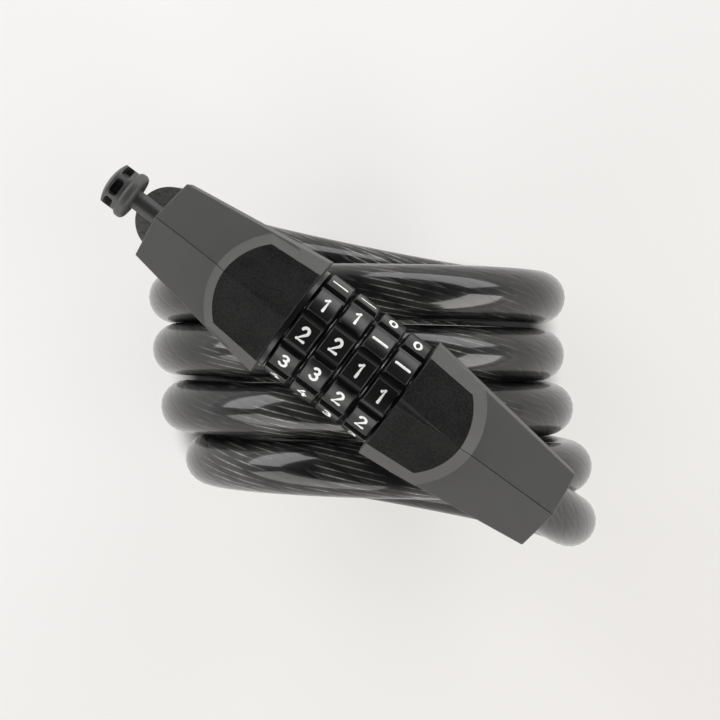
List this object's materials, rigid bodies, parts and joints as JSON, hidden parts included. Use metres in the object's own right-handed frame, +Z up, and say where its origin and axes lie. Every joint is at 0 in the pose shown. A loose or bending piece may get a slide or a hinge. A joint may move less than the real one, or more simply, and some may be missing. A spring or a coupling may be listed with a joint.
{
  "type": "cable lock",
  "caption": "Coiled bicycle cable lock: combination head with number dials, plug half that pulls out along its axis, mounting knob and thick clear-sleeved cable.",
  "frame": {"origin": "middle of the box round the lock head, without the cable", "axes": "+X to the right and +Y to the far side of the coil as the lock lies, +Z up, out of the face with the dials; the head points down and to the right at 36.87 degrees to +X"},
  "size_m": [0.106, 0.0861, 0.1219],
  "materials": {
    "cover": "fine moulded grain, dark grey",
    "inlay": "fine moulded grain, black",
    "boss": "coarse moulded grain, dark grey",
    "knob": "moulded, black",
    "dial": "polished black with white numbers",
    "code_ring": "moulded black acetal",
    "zinc": "die-cast zinc, satin",
    "steel": "turned steel",
    "ferrule": "crimped brass",
    "cable_sleeve": "smoky clear plastic over twisted steel strands"
  },
  "bodies": {
    "dial_half": {"dial_half_cover_upper": "cover", "dial_half_cover_lower": "cover", "dial_half_inlay": "inlay", "dial_half_screws": "steel", "dial_half_cable_boss": "boss", "dial_half_ferrule": "ferrule", "dial_half_ferrule_pin": "steel", "dial_barrel": "zinc", "click_spring": "steel", "dial_end_collar": "inlay", "collar_snap_ring": "steel", "cable_coil": "cable_sleeve", "cable_upper_lead": "cable_sleeve", "cable_lower_lead": "cable_sleeve"},
    "plug_half": {"plug_half_cover_upper": "cover", "plug_half_cover_lower": "cover", "plug_half_inlay": "inlay", "plug_half_screws": "steel", "plug_half_cable_boss": "boss", "plug_half_ferrule": "ferrule", "plug_half_ferrule_pin": "steel", "mounting_knob": "knob", "bolt_rod": "steel", "bolt_cross_pin": "steel"},
    "dial_1": {"dial_ring_1": "dial", "code_ring_1": "code_ring"},
    "dial_2": {"dial_ring_2": "dial", "code_ring_2": "code_ring"},
    "dial_3": {"dial_ring_3": "dial", "code_ring_3": "code_ring"},
    "dial_4": {"dial_ring_4": "dial", "code_ring_4": "code_ring"}
  },
  "joints": [
    {"name": "plug_pull", "type": "slide", "parent": "dial_half", "child": "plug_half", "axis": [-0.8, 0.6, 0], "range_m": [0, 0.042], "deforming": ["cable_upper_lead"]},
    {"name": "dial_1_turn", "type": "hinge", "parent": "dial_half", "child": "dial_1", "pos_m": [-0.0058, 0.00507, 0.0027], "axis": [0.8, -0.6, 0], "continuous": true},
    {"name": "dial_2_turn", "type": "hinge", "parent": "dial_half", "child": "dial_2", "pos_m": [-0.0006, 0.00117, 0.0027], "axis": [0.8, -0.6, 0], "continuous": true},
    {"name": "dial_3_turn", "type": "hinge", "parent": "dial_half", "child": "dial_3", "pos_m": [0.0046, -0.00273, 0.0027], "axis": [0.8, -0.6, 0], "continuous": true},
    {"name": "dial_4_turn", "type": "hinge", "parent": "dial_half", "child": "dial_4", "pos_m": [0.0098, -0.00663, 0.0027], "axis": [0.8, -0.6, 0], "continuous": true}
  ]
}
